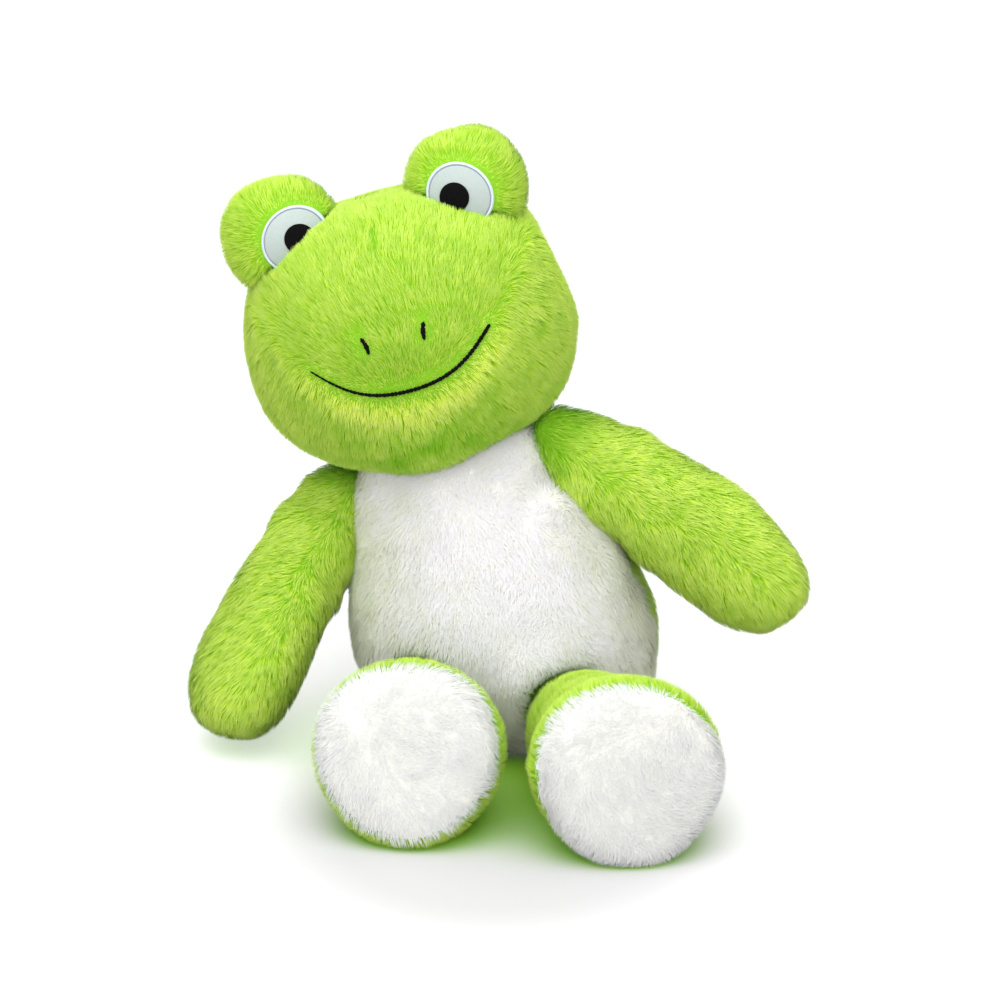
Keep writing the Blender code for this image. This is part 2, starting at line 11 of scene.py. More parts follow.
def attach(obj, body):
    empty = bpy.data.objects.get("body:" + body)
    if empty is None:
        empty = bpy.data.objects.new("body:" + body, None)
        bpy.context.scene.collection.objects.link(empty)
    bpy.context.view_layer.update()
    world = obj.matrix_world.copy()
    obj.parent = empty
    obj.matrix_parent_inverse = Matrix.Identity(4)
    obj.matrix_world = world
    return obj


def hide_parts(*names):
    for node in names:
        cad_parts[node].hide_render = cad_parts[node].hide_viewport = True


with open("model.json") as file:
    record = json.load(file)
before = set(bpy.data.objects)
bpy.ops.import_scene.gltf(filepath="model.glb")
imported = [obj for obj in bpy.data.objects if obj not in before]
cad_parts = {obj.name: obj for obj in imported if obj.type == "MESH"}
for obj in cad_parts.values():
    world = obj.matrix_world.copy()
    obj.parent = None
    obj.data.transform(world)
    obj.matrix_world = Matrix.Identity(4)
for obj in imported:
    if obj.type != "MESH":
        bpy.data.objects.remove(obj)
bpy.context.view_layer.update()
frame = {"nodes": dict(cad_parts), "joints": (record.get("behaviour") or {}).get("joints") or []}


# The studio: a seamless white sweep that takes the toy's soft shadow, with a painted green
# tint where the toy shelters it and a painted glow that fades the shadow away from the feet,
# lit by one wide softbox overhead, a second one in front, and pale walls all round.
def linear(red, green, blue):
    """A colour as a paint chart gives it, 0 to 255, in the linear values that shaders take."""
    steps = np.array([red, green, blue]) / 255
    return (*np.where(steps <= 0.04045, steps / 12.92, ((steps + 0.055) / 1.055) ** 2.4), 1)


def new_material(name):
    """An empty node material: its node tree, its output and its Principled shader, already joined."""
    material = bpy.data.materials.new(name)
    material.use_nodes = True
    tree = material.node_tree
    tree.nodes.clear()
    output = tree.nodes.new("ShaderNodeOutputMaterial")
    shader = tree.nodes.new("ShaderNodeBsdfPrincipled")
    tree.links.new(shader.outputs["BSDF"], output.inputs["Surface"])
    return material, tree, shader


def placed(name, data):
    """A new object that holds the data, in the scene."""
    thing = bpy.data.objects.new(name, data)
    bpy.context.scene.collection.objects.link(thing)
    return thing


def looked_along(tree):
    """1 for rays that the camera sends, straight, mirrored or through, and 0 for rays that only carry light."""
    rays = tree.nodes.new("ShaderNodeLightPath")
    seen = tree.nodes.new("ShaderNodeMath")
    seen.operation = "MAXIMUM"
    seen_or_crossed = tree.nodes.new("ShaderNodeMath")
    seen_or_crossed.operation = "MAXIMUM"
    tree.links.new(rays.outputs["Is Camera Ray"], seen.inputs[0])
    tree.links.new(rays.outputs["Is Glossy Ray"], seen.inputs[1])
    tree.links.new(seen.outputs[0], seen_or_crossed.inputs[0])
    tree.links.new(rays.outputs["Is Transmission Ray"], seen_or_crossed.inputs[1])
    return seen_or_crossed.outputs[0]


floor_half = 4
floor_corners = [(-floor_half, -floor_half, 0), (floor_half, -floor_half, 0),
                 (floor_half, floor_half, 0), (-floor_half, floor_half, 0)]
sweep_mesh = bpy.data.meshes.new("sweep")
sweep_mesh.from_pydata(floor_corners, [], [(0, 1, 2, 3)])
sweep = placed("sweep", sweep_mesh)

sweep_paper, tree, shader = new_material("sweep_paper")
shader.inputs["Roughness"].default_value = 0.9
shader.inputs["Specular IOR Level"].default_value = 0
# Painted bounce light: where the toy shelters the sweep, its paper is tinted green for the camera, as if lit by
# light from the green legs.
shelter = tree.nodes.new("ShaderNodeAmbientOcclusion")
shelter.inputs["Distance"].default_value = 0.06
painted_green_bounce = tree.nodes.new("ShaderNodeMix")
painted_green_bounce.data_type = "RGBA"
painted_green_bounce.inputs["A"].default_value = linear(140, 198, 50)
painted_green_bounce.inputs["B"].default_value = linear(206, 206, 206)
open_floor = tree.nodes.new("ShaderNodeMapRange")
open_floor.interpolation_type = "SMOOTHSTEP"
open_floor.inputs["From Min"].default_value = 0.1
open_floor.inputs["From Max"].default_value = 0.72
tree.links.new(shelter.outputs["AO"], open_floor.inputs["Value"])
tree.links.new(open_floor.outputs[0], painted_green_bounce.inputs["Factor"])
paper = tree.nodes.new("ShaderNodeMix")
paper.data_type = "RGBA"
paper.inputs["A"].default_value = linear(150, 150, 150)
tree.links.new(painted_green_bounce.outputs["Result"], paper.inputs["B"])
tree.links.new(paper.outputs["Result"], shader.inputs["Base Color"])
shader.inputs["Emission Color"].default_value = (1, 1, 1, 1)
looked_at = looked_along(tree)
# Painted light: for the camera, the sweep glows more the farther it lies from the feet, up to 0.5, so the toy's
# shadow shows only round the feet.
place = tree.nodes.new("ShaderNodeNewGeometry")
reach = tree.nodes.new("ShaderNodeVectorMath")
reach.operation = "DISTANCE"
reach.inputs[1].default_value = (-0.008, -0.12, 0)
faint = tree.nodes.new("ShaderNodeMapRange")
faint.interpolation_type = "SMOOTHSTEP"
faint.inputs["From Min"].default_value = 0.065
faint.inputs["From Max"].default_value = 0.14
faint.inputs["To Min"].default_value = 0.0
faint.inputs["To Max"].default_value = 0.5
glow = tree.nodes.new("ShaderNodeMath")
glow.operation = "MULTIPLY"
tree.links.new(place.outputs["Position"], reach.inputs[0])
tree.links.new(reach.outputs["Value"], faint.inputs["Value"])
tree.links.new(faint.outputs[0], glow.inputs[1])
tree.links.new(looked_at, paper.inputs["Factor"])
tree.links.new(looked_at, glow.inputs[0])
tree.links.new(glow.outputs[0], shader.inputs["Emission Strength"])
sweep_mesh.materials.append(sweep_paper)

world = bpy.data.worlds.new("pale_walls")
bpy.context.scene.world = world
world.use_nodes = True
tree = world.node_tree
tree.nodes.clear()
output = tree.nodes.new("ShaderNodeOutputWorld")
mixed = tree.nodes.new("ShaderNodeMixShader")
walls = tree.nodes.new("ShaderNodeBackground")
walls.inputs["Strength"].default_value = 0.86
backdrop = tree.nodes.new("ShaderNodeBackground")
backdrop.inputs["Color"].default_value = (1, 1, 1, 1)
walls.inputs["Color"].default_value = (1, 1, 1, 1)
tree.links.new(looked_along(tree), mixed.inputs[0])
tree.links.new(walls.outputs[0], mixed.inputs[1])
tree.links.new(backdrop.outputs[0], mixed.inputs[2])
tree.links.new(mixed.outputs[0], output.inputs["Surface"])


def softbox(name, place, aim, side, watts):
    """A square soft lamp at a place, turned to shine at a point."""
    lamp = bpy.data.lights.new(name, "AREA")
    lamp.shape = "SQUARE"
    lamp.size = side
    lamp.energy = watts
    lamp_object = placed(name, lamp)
    lamp_object.location = place
    lamp_object.rotation_euler = (Vector(aim) - Vector(place)).to_track_quat("-Z", "Y").to_euler()


softbox("overhead_box", (-0.1, -0.45, 1.6), (0, 0, 0.1), 1.6, 17.5)
softbox("front_box", (-0.25, -1.9, 0.8), (0, 0, 0.12), 1.4, 16)

camera_data = bpy.data.cameras.new("camera")
camera_data.sensor_width = 36
camera_data.lens = 136
camera = placed("camera", camera_data)
camera.location = (-0.0077, -1.5737, 0.7418)
camera.rotation_euler = (math.radians(68), 0, 0)
bpy.context.scene.camera = camera
bpy.context.scene.view_settings.view_transform = "Standard"


# The body: a soft stuffed pear of knitted cloth with a deep combed pile, white down
# the whole front and lime green behind. The two panels meet in a seam along each side,
# hidden in the pile, and the stuffing and a pouch of pellets in the seat fill it.
def joined(nodes):
    """The points and triangles of several solids together."""
    points, faces, count = [], [], 0
    for node in nodes:
        mesh = frame["nodes"][node].data
        mesh.calc_loop_triangles()
        points.append(read_array(mesh.vertices, "co", 3))
        faces.append(read_array(mesh.loop_triangles, "vertices", 3, np.int32) + count)
        count += len(mesh.vertices)
    return np.concatenate(points), np.concatenate(faces)


def read_array(group, field, columns, kind=np.float32):
    """A field of a mesh's vertices, faces or normals as an array with so many columns."""
    values = np.empty(len(group) * columns, kind)
    group.foreach_get(field, values)
    return values.reshape(-1, columns)


def move_points(mesh, points):
    """Gives a mesh's vertices new places."""
    mesh.vertices.foreach_set("co", points.astype(np.float32).ravel())
    mesh.update()


def settled(thing):
    """The object with its modifiers worked into its mesh."""
    graph = bpy.context.evaluated_depsgraph_get()
    mesh = bpy.data.meshes.new_from_object(thing.evaluated_get(graph))
    thing.modifiers.clear()
    thing.data = mesh
    mesh.name = thing.name
    return thing


def cushion(name, nodes, mesh_size=0.003, rounds=6, filling=()):
    """One closed cloth skin drawn smoothly over several stuffed solids and round balls of filling."""
    points, faces = joined(nodes)
    for centre, radius in filling:
        tuft = bmesh.new()
        bmesh.ops.create_icosphere(tuft, subdivisions=3, radius=radius, matrix=Matrix.Translation(centre))
        faces = np.concatenate([faces, [[v.index + len(points) for v in f.verts] for f in tuft.faces]])
        points = np.concatenate([points, [v.co for v in tuft.verts]])
        tuft.free()
    mesh = bpy.data.meshes.new(name)
    mesh.from_pydata(points.tolist(), [], faces.tolist())
    skin = placed(name, mesh)
    drawn = skin.modifiers.new("drawn", "REMESH")
    drawn.mode = "VOXEL"
    drawn.voxel_size = mesh_size
    eased = skin.modifiers.new("eased", "SMOOTH")
    eased.factor = 0.5
    eased.iterations = rounds
    settled(skin)
    skin.data.shade_smooth()
    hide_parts(*nodes)
    eased_towards(skin)
    return skin


lowest_cloth, lowest_fibre = 0.0004, 0.0003


def eased_towards(skin, *pushes):
    """Shapes a skin by the listed pushes and keeps it off the floor. A push is a place, its reach and how far it
    moves cloth.
    """
    points = read_array(skin.data.vertices, "co", 3).astype(float)
    for place, reach, move in pushes:
        near = np.clip(1 - np.linalg.norm(points - np.array(place), axis=1) / reach, 0, 1)
        points += (near * near * (3 - 2 * near))[:, None] * np.array(move)
    points[:, 2] = np.maximum(points[:, 2], lowest_cloth)
    move_points(skin.data, points)


def unit(vectors):
    return vectors / np.maximum(np.linalg.norm(vectors, axis=-1, keepdims=True), 1e-9)


def scatter(mesh, per_square_mm, chance, share):
    """Random places on a mesh and the way out of it there. share thins them out, by place."""
    mesh.calc_loop_triangles()
    corners = read_array(mesh.loop_triangles, "vertices", 3, np.int32)
    points = read_array(mesh.vertices, "co", 3).astype(float)
    outward = read_array(mesh.vertex_normals, "vector", 3).astype(float)
    a, b, c = points[corners].transpose(1, 0, 2)
    area = np.linalg.norm(np.cross(b - a, c - a), axis=1) / 2
    if share:
        area = area * share((a + b + c) / 3, unit(outward[corners].sum(1)))
    count = int(area.sum() * 1e6 * per_square_mm)
    picked = corners[chance.choice(len(area), count, p=area / area.sum())]
    s, t = chance.random((2, count))
    s, t = np.where(s + t > 1, 1 - s, s), np.where(s + t > 1, 1 - t, t)
    weights = np.stack([1 - s - t, s, t], 1)[:, :, None]
    return (points[picked] * weights).sum(1), unit((outward[picked] * weights).sum(1))


def wander(points, size, chance):
    """A smooth random field of vectors, about 1 long, that changes over the given size."""
    total = np.zeros_like(points)
    for _ in range(4):
        waves = chance.normal(size=(3, 3)) * 1.6 / size
        total += np.sin(points @ waves + chance.uniform(0, 6.28, 3))
    return total / 2


def grow_pile(name, skin, body, finish, comb, length=0.009, per_square_mm=2.4, width=0.00026,
              tuft=0.0022, draw=0.32, lock=0.008, lock_draw=0.14, root_lift=50, tip_lift=8, stray=0.14,
              swirl=0.25, seed=1, share=None, trim=None, shade=None, dye=0.075, evenness=1.6):
    """Combed fibres over a skin, as tapered blades that draw into fine tufts, and these into loose locks."""
    chance = np.random.default_rng(seed)
    field = np.random.default_rng(seed + 50)
    roots, outward = scatter(skin.data, per_square_mm, chance, share)
    stations = np.array([0, 0.5, 1])
    root_depth = 0.001

    def course(points, normals, lengths, loose):
        """The lines that fibres follow from their roots, one point for each station."""
        drift = wander(points, 0.03, np.random.default_rng(seed + 7)) * swirl
        drift += wander(points, 0.010, np.random.default_rng(seed + 8)) * swirl * 0.7
        way = comb(points, normals) + drift + field.normal(size=points.shape) * loose
        flat = unit(way - (way * normals).sum(1, keepdims=True) * normals)
        start, end = math.radians(root_lift), math.radians(tip_lift)
        first = normals * math.sin(start) + flat * math.cos(start)
        last = normals * math.sin(end) + flat * math.cos(end)
        steps = stations[None, :, None]
        bent = first[:, None] * (steps - steps**2 / 2) + last[:, None] * steps**2 / 2
        return points[:, None] - normals[:, None] * root_depth + bent * lengths[:, None, None]

    lengths = length * chance.uniform(0.82, 1.1, len(roots))
    if trim:
        lengths *= trim(roots, outward)
    tone = 0.5 + chance.normal(size=len(roots)) * dye
    # Painted light and shade: a pile's shade function raises or lowers the tone of its fibres by place.
    if shade:
        tone += shade(roots, outward)
    lines = course(roots, outward, lengths, stray)
    for spacing, strength, uneven, loose in ((tuft, draw, dye * 0.6, 0.1), (lock, lock_draw, dye * 0.6, 0.2)):
        centres, centre_outward = scatter(skin.data, 1e-6 / spacing**2, chance, share)
        middles = KDTree(len(centres))
        for index, centre in enumerate(centres):
            middles.insert(centre, index)
        middles.balance()
        bunch = np.array([middles.find(root)[1] for root in roots])
        own = length * chance.uniform(0.85, 1.15, len(centres))
        if trim:
            own *= trim(centres, centre_outward)
        target = course(centres, centre_outward, own, loose)[bunch]
        gather = (strength * chance.uniform(0.6, 1.1, len(roots)))[:, None] * stations[None, :] ** 1.4
        lines += (target - lines) * gather[:, :, None]
        tone += chance.normal(size=len(centres))[bunch] * uneven
    lines[:, :, 2] = np.maximum(lines[:, :, 2], lowest_fibre)

    along = unit(lines[:, 1:] - lines[:, :-1])
    along = np.stack([along[:, 0], unit(along[:, 0] + along[:, 1]), along[:, 1]], 1)
    roll = chance.normal(size=(len(roots), 1)) * 0.4
    across = unit(np.cross(along, outward[:, None]))
    facing = unit(np.cross(across, along))
    across = across * np.cos(roll)[:, :, None] + facing * np.sin(roll)[:, :, None]
    half = width / 2 * np.array([1, 0.86]) * chance.uniform(0.7, 1.2, (len(roots), 1))
    points = np.empty((len(roots), 5, 3))
    points[:, 0:4:2] = lines[:, :2] - across[:, :2] * half[:, :, None]
    points[:, 1:4:2] = lines[:, :2] + across[:, :2] * half[:, :, None]
    points[:, 4] = lines[:, 2]

    tone = np.clip(tone, 0.03, 0.97)
    offset = np.array([-1, 1, 1, -1, -1, 1, 0]) * 0.004
    rise = np.array([0, 0, 0.5, 0.5, 0.5, 0.5, 1])
    corners = np.array([0, 1, 3, 2, 2, 3, 4])
    count = len(roots)
    order = np.arange(count)[:, None]
    mesh = bpy.data.meshes.new(name)
    mesh.vertices.add(count * 5)
    mesh.vertices.foreach_set("co", points.astype(np.float32).ravel())
    mesh.loops.add(count * 7)
    mesh.loops.foreach_set("vertex_index", (corners + order * 5).astype(np.int32).ravel())
    mesh.polygons.add(count * 2)
    mesh.polygons.foreach_set("loop_start", (np.array([0, 4]) + order * 7).astype(np.int32).ravel())
    layer = mesh.uv_layers.new(name="OFBake")
    places = np.stack([tone[:, None] + offset, np.repeat(rise[None], count, 0)], 2)
    layer.data.foreach_set("uv", places.astype(np.float32).ravel())
    mesh.update()
    mesh.shade_smooth()
    normals = unit(outward[:, None] * evenness + facing)
    normals = np.concatenate([np.repeat(normals[:, :2], 2, 1), normals[:, 2:]], 1)
    mesh.normals_split_custom_set_from_vertices(normals.reshape(-1, 3).astype(np.float32))
    mesh.materials.append(finish)
    fibres = placed(name, mesh)
    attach(fibres, body)
    return fibres


def fibre_shade_group():
    """Root, middle and tip colours of a fibre, its deeper root partly painted shade deep in the pile and its
    paler tip partly a painted highlight, made paler or deeper by its tone: at random from one fibre to the next,
    and by painted light and shade where a pile's shade function gives it.
    """
    group = bpy.data.node_groups.new("fibre_shade", "ShaderNodeTree")
    for name in ("Root", "Middle", "Tip"):
        group.interface.new_socket(name, in_out="INPUT", socket_type="NodeSocketColor")
    for name in ("Deepest", "Palest"):
        group.interface.new_socket(name, in_out="INPUT", socket_type="NodeSocketVector")
    for name in ("Tone", "Rise"):
        group.interface.new_socket(name, in_out="INPUT", socket_type="NodeSocketFloat")
    group.interface.new_socket("Colour", in_out="OUTPUT", socket_type="NodeSocketColor")
    given = group.nodes.new("NodeGroupInput")
    made = group.nodes.new("NodeGroupOutput")
    low = group.nodes.new("ShaderNodeMapRange")
    low.inputs["From Min"].default_value = 0.05
    low.inputs["From Max"].default_value = 0.5
    high = group.nodes.new("ShaderNodeMapRange")
    high.inputs["From Min"].default_value = 0.45
    high.inputs["From Max"].default_value = 1.05
    blend_low = group.nodes.new("ShaderNodeMix")
    blend_low.data_type = "RGBA"
    blend_high = group.nodes.new("ShaderNodeMix")
    blend_high.data_type = "RGBA"
    gain = group.nodes.new("ShaderNodeMix")
    gain.data_type = "VECTOR"
    lit = group.nodes.new("ShaderNodeVectorMath")
    lit.operation = "MULTIPLY"
    kept = group.nodes.new("ShaderNodeVectorMath")
    kept.operation = "MINIMUM"
    kept.inputs[1].default_value = (0.97, 0.97, 0.97)
    link = group.links.new
    link(given.outputs["Rise"], low.inputs["Value"])
    link(given.outputs["Rise"], high.inputs["Value"])
    link(low.outputs[0], blend_low.inputs["Factor"])
    link(given.outputs["Root"], blend_low.inputs["A"])
    link(given.outputs["Middle"], blend_low.inputs["B"])
    link(high.outputs[0], blend_high.inputs["Factor"])
    link(blend_low.outputs["Result"], blend_high.inputs["A"])
    link(given.outputs["Tip"], blend_high.inputs["B"])
    link(given.outputs["Tone"], gain.inputs["Factor"])
    link(given.outputs["Deepest"], gain.inputs["A"])
    link(given.outputs["Palest"], gain.inputs["B"])
    link(blend_high.outputs["Result"], lit.inputs[0])
    link(gain.outputs["Result"], lit.inputs[1])
    link(lit.outputs[0], kept.inputs[0])
    link(kept.outputs[0], made.inputs["Colour"])
    return group


fibre_shade = fibre_shade_group()


def pile_material(name, root, middle, tip, deepest, palest):
    """A dull soft fibre with a faint velvety sheen, coloured by its tone and the height on it."""
    material, tree, shader = new_material(name)
    spot = tree.nodes.new("ShaderNodeUVMap")
    spot.uv_map = "OFBake"
    parts = tree.nodes.new("ShaderNodeSeparateXYZ")
    shades = tree.nodes.new("ShaderNodeGroup")
    shades.node_tree = fibre_shade
    shades.inputs["Root"].default_value = root
    shades.inputs["Middle"].default_value = middle
    shades.inputs["Tip"].default_value = tip
    shades.inputs["Deepest"].default_value = deepest
    shades.inputs["Palest"].default_value = palest
    tree.links.new(spot.outputs[0], parts.inputs[0])
    tree.links.new(parts.outputs["X"], shades.inputs["Tone"])
    tree.links.new(parts.outputs["Y"], shades.inputs["Rise"])
    tree.links.new(shades.outputs["Colour"], shader.inputs["Base Color"])
    shader.inputs["Roughness"].default_value = 0.75
    shader.inputs["Specular IOR Level"].default_value = 0.06
    shader.inputs["Sheen Weight"].default_value = 0.04
    shader.inputs["Sheen Roughness"].default_value = 0.45
    return material


# The pile's deep roots and pale tips are partly its own dye and partly painted shade deep in the pile and a
# painted highlight at the tips; its deepest tone is the saturated green of painted shade.
green_pile = pile_material("green_pile", linear(146, 204, 22), linear(192, 227, 56), linear(207, 232, 116),
                           (0.40, 0.74, 0.12), (1.52, 1.25, 1.98))
# The white pile's roots and its deeper tones are a little green: painted bounce light from the green limbs and
# back.
white_pile = pile_material("white_pile", linear(231, 236, 210), linear(243, 244, 236), linear(247, 247, 244),
                           (0.84, 0.90, 0.52), (1.17, 1.10, 1.50))


def cloth_material(name, colour, deep):
    """Knitted backing cloth: rows of small loops, with the dye a little uneven."""
    material, tree, shader = new_material(name)
    place = tree.nodes.new("ShaderNodeTexCoord")
    uneven = tree.nodes.new("ShaderNodeTexNoise")
    uneven.inputs["Scale"].default_value = 60
    loops = tree.nodes.new("ShaderNodeTexVoronoi")
    loops.inputs["Scale"].default_value = 900
    blend = tree.nodes.new("ShaderNodeMix")
    blend.data_type = "RGBA"
    blend.inputs["A"].default_value = colour
    blend.inputs["B"].default_value = deep
    bump = tree.nodes.new("ShaderNodeBump")
    bump.inputs["Strength"].default_value = 0.4
    bump.inputs["Distance"].default_value = 0.0005
    tree.links.new(place.outputs["Object"], uneven.inputs["Vector"])
    tree.links.new(place.outputs["Object"], loops.inputs["Vector"])
    tree.links.new(uneven.outputs[0], blend.inputs["Factor"])
    tree.links.new(blend.outputs["Result"], shader.inputs["Base Color"])
    tree.links.new(loops.outputs["Distance"], bump.inputs["Height"])
    tree.links.new(bump.outputs[0], shader.inputs["Normal"])
    shader.inputs["Roughness"].default_value = 0.9
    return material


# The green backing cloth takes the deep green of the pile's roots, partly painted shade at the foot of the pile
# where it shows between the fibres.
green_cloth = cloth_material("green_cloth", linear(138, 198, 20), linear(118, 184, 12))
white_cloth = cloth_material("white_cloth", linear(250, 249, 242), linear(246, 244, 236))

body_skin = cushion("body_skin", ["belly_panel", "back_panel", "torso_stuffing", "pellet_pouch"])
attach(body_skin, "torso")
body_skin.data.materials.append(white_cloth)
body_skin.data.materials.append(green_cloth)


def tree_of(nodes):
    points, _ = joined(nodes)
    tree = KDTree(len(points))
    for index, point in enumerate(points):
        tree.insert(point, index)
    tree.balance()
    return tree


front_points, back_points = tree_of(["belly_panel"]), tree_of(["back_panel"])


def behind_the_seam(points):
    """1 where a point belongs to the green back, 0 where it belongs to the white front."""
    low = np.clip((0.062 - points[:, 2]) / 0.03, 0, 1) * (points[:, 0] > 0)
    gaps = np.array([front_points.find(p)[2] - back_points.find(p)[2] for p in points])
    return (gaps > 0.006 + low * 0.014).astype(float)


eased_towards(
    body_skin,
    ((-0.0758, 0.012, 0.108), 0.035, (-0.007, -0.002, 0)),
    ((-0.07, 0.005, 0.125), 0.03, (-0.006, -0.002, 0)),
    ((0.004, 0.008, 0.138), 0.032, (0.0068, -0.001, 0.0062)),
    ((0.0105, -0.060, 0.041), 0.026, (-0.0005, -0.0040, 0.0010)),
    ((0.0649, -0.003, 0.058), 0.03, (0.0015, 0, 0)),
    ((0.0626, -0.0121, 0.0301), 0.03, (-0.002, 0, 0)),
)
faces = body_skin.data.polygons
green = behind_the_seam(read_array(faces, "center", 3))
faces.foreach_set("material_index", green.astype(np.int32))


def down_the_body(points, normals):
    """Downward, turning out towards the sides."""
    middle = np.array([-0.012, 0, 0])
    outwards = (points - middle) * np.array([5, 0, 0])
    return outwards + np.array([0, 0, -1.0])


def painted_bounce_and_shade_at_edges(points, normals):
    """Painted bounce light and shade: the white pile's tone drops, greener and darker, where it faces sideways
    and low on the seat beside the green of the limbs and the back; elsewhere it is a little paler.
    """
    sides = np.clip(np.abs(normals[:, 0]) * 1.3 - 0.4, 0, 1)
    seat = np.clip((0.055 - points[:, 2]) / 0.03, 0, 1)
    return 0.12 - 0.34 * np.maximum(sides, seat)


grow_pile("belly_pile", body_skin, "torso", white_pile, down_the_body, length=0.0072, seed=11,
          draw=0.24, per_square_mm=3.2, lock=0.007, lock_draw=0.10, stray=0.30, swirl=0.45, dye=0.045,
          root_lift=52, tip_lift=14, evenness=2.6, share=lambda p, n: 1 - behind_the_seam(p),
          shade=painted_bounce_and_shade_at_edges)
grow_pile("back_pile", body_skin, "torso", green_pile, down_the_body, length=0.0095, seed=12,
          share=lambda p, n: behind_the_seam(p))


# The arms: long soft sausages of green pile, sewn in at the shoulders so that they swing.
# The pile runs down to the hand and parts along a seam on the front of each arm.
shoulder_shapes = {
    "right": [((-0.0735, 0, 0.076), 0.03, (-0.0034, 0, 0)),
              ((-0.0982, 0.0134, 0.1055), 0.035, (-0.0048, 0, 0.0026)),
              ((-0.1154, 0.0032, 0.0803), 0.035, (-0.0044, 0, 0.0018)),
              ((-0.1322, -0.0087, 0.0509), 0.035, (-0.0044, 0, 0.001)),
              ((-0.1412, -0.0205, 0.0216), 0.04, (-0.008, 0, -0.001))],
    "left": [((0.0152, 0.0137, 0.1417), 0.036, (-0.010, -0.002, 0.008)),
             ((0.0562, 0.0121, 0.1334), 0.035, (0.001, 0, 0.0046)),
             ((0.1315, -0.0139, 0.0729), 0.035, (-0.002, 0, 0)),
             ((0.1226, -0.0055, 0.0937), 0.035, (-0.0035, 0, -0.0015)),
             ((0.0852, -0.0126, 0.0652), 0.04, (-0.0015, 0, -0.0035)),
             ((0.0552, -0.0106, 0.0812), 0.034, (0.0005, 0, -0.0066)),
             ((0.0215, 0.0004, 0.1083), 0.035, (-0.003, -0.002, -0.003))],
}
for side in ("right", "left"):
    shoulder = np.array(next(j["pos_m"] for j in frame["joints"] if j["child"] == "arm_" + side))
    points, _ = joined(["arm_" + side])
    axis = unit(points.mean(0) - shoulder)
    skin = cushion("arm_skin_" + side, ["arm_" + side, "arm_stuffing_" + side], rounds=12,
                   filling=[(shoulder + axis * 0.003, 0.0185), (shoulder + axis * 0.022, 0.0212),
                            (shoulder + axis * 0.043, 0.0202 if side == "left" else 0.0188)])
    eased_towards(skin, *shoulder_shapes[side])
    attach(skin, "arm_" + side)
    skin.data.materials.append(green_cloth)
    sideways = unit(np.cross(axis, [0, -1, 0.3]))
    if sideways[2] > 0:
        sideways = -sideways

    def along_the_arm(p, n, axis=axis, sideways=sideways, shoulder=shoulder):
        """Along the arm to the hand, and away to both sides of a line on its front."""
        below = np.tanh(((p - shoulder) @ sideways - 0.001) / 0.006)[:, None]
        return axis + sideways * (below * 0.62 + 0.18) + np.array([0, 0, -0.15])

    def painted_shade_at_the_root(p, n, axis=axis, shoulder=shoulder):
        """Painted shade: deeper green where the arm is pressed into the shoulder, and the rest of the arm a
        little paler.
        """
        return 0.09 - 0.38 * np.clip(1 - ((p - shoulder) @ axis + 0.012) / 0.015, 0, 1)

    grow_pile("arm_pile_" + side, skin, "arm_" + side, green_pile, along_the_arm,
              seed=21 if side == "right" else 22, length=0.0076, per_square_mm=2.7, draw=0.26,
              lock=0.007, lock_draw=0.16, root_lift=52, tip_lift=11, stray=0.2, shade=painted_shade_at_the_root)

# The legs: short fat stumps of green pile with a round white sole sewn into the end of each.
# Painted shade: the soles' white pile is the white pile made dimmer and neutral, so the soles, which face the
# front softbox, come out no brighter than the belly.
sole_white_painted_shade = pile_material("sole_white_painted_shade", linear(229, 230, 224), linear(236, 237, 233), linear(240, 241, 239),
                           (0.80, 0.81, 0.77), (1.18, 1.17, 1.24))
white_shifts = {"right": (0.0012, 0, 0.0010), "left": (0.0022, 0, -0.0050)}
white_widths = {"right": 1.0, "left": 0.93}
foot_shapes = {"right": (0.0006, 0, -0.0032), "left": (0.003, 0, -0.0025)}
foot_widths = {"right": (-0.0018, 0.0022), "left": (-0.0012, 0.0034)}
hip_shapes = {"right": [((-0.0462, -0.0409, 0.0478), 0.05, (0, 0, -0.0030))],
              "left": [((0.0046, -0.0583, 0.0376), 0.045, (0.0030, 0, -0.0012)),
                       ((0.0244, -0.0546, 0.0475), 0.035, (0.001, 0, -0.001))]}
thigh_fillings = {"right": (0.0250, 0.0300, 0.0), "left": (0.0270, 0.0308, 0.0018)}
low_pushes = {"right": 0, "left": 0.003}
